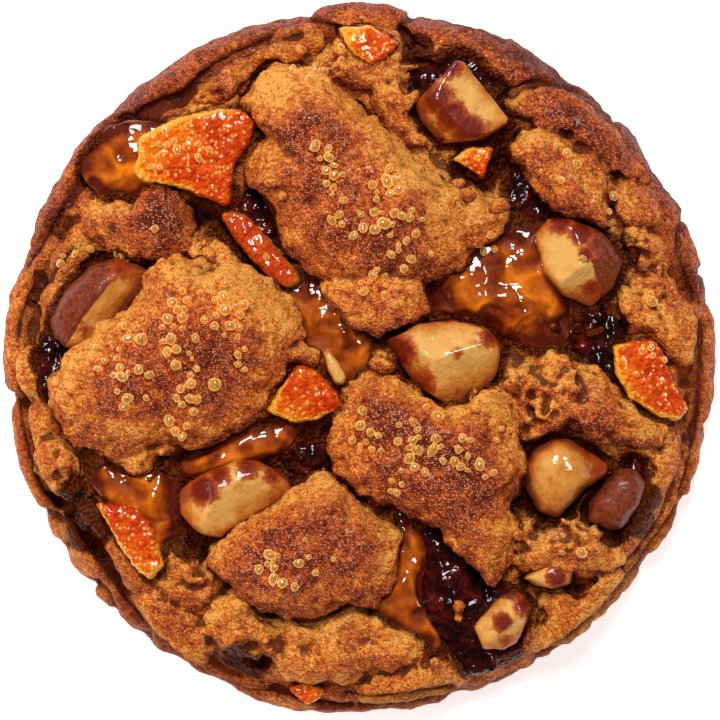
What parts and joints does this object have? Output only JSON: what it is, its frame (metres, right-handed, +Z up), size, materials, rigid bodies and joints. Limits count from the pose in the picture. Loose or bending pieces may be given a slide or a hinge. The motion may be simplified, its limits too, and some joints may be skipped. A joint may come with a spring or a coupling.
{
  "type": "cookie",
  "caption": "Thick round bakery cookie with a rolled rim, risen lumps of dough, nut chunks, candied peel, caramel and dark jam.",
  "frame": {"origin": "centre of the flat underside", "axes": "+Z up through the cookie; +Y towards the top edge of the picture, +X to its right"},
  "size_m": [0.0997, 0.0994, 0.0245],
  "materials": {
    "dough": "browned crumb",
    "nut": "glazed roasted nut",
    "peel": "sugared candied peel",
    "caramel": "set caramel",
    "jam": "sticky jam"
  },
  "bodies": {
    "root": {"caramel_east": "caramel", "caramel_middle": "caramel", "caramel_northwest": "caramel", "caramel_south": "caramel", "caramel_southwest": "caramel", "caramel_strip": "caramel", "dough": "dough", "jam_east": "jam", "jam_middle": "jam", "jam_north": "jam", "jam_northeast": "jam", "jam_northwest": "jam", "jam_south": "jam", "jam_southeast": "jam", "jam_west": "jam", "nut_east": "nut", "nut_middle": "nut", "nut_north": "nut", "nut_skinned": "nut", "nut_sliver": "nut", "nut_small": "nut", "nut_south": "nut", "nut_southeast": "nut", "nut_southwest": "nut", "nut_west": "nut", "peel_east": "peel", "peel_glazed": "peel", "peel_middle": "peel", "peel_north": "peel", "peel_northeast": "peel", "peel_northwest": "peel", "peel_south": "peel", "peel_southwest": "peel"}
  },
  "joints": []
}
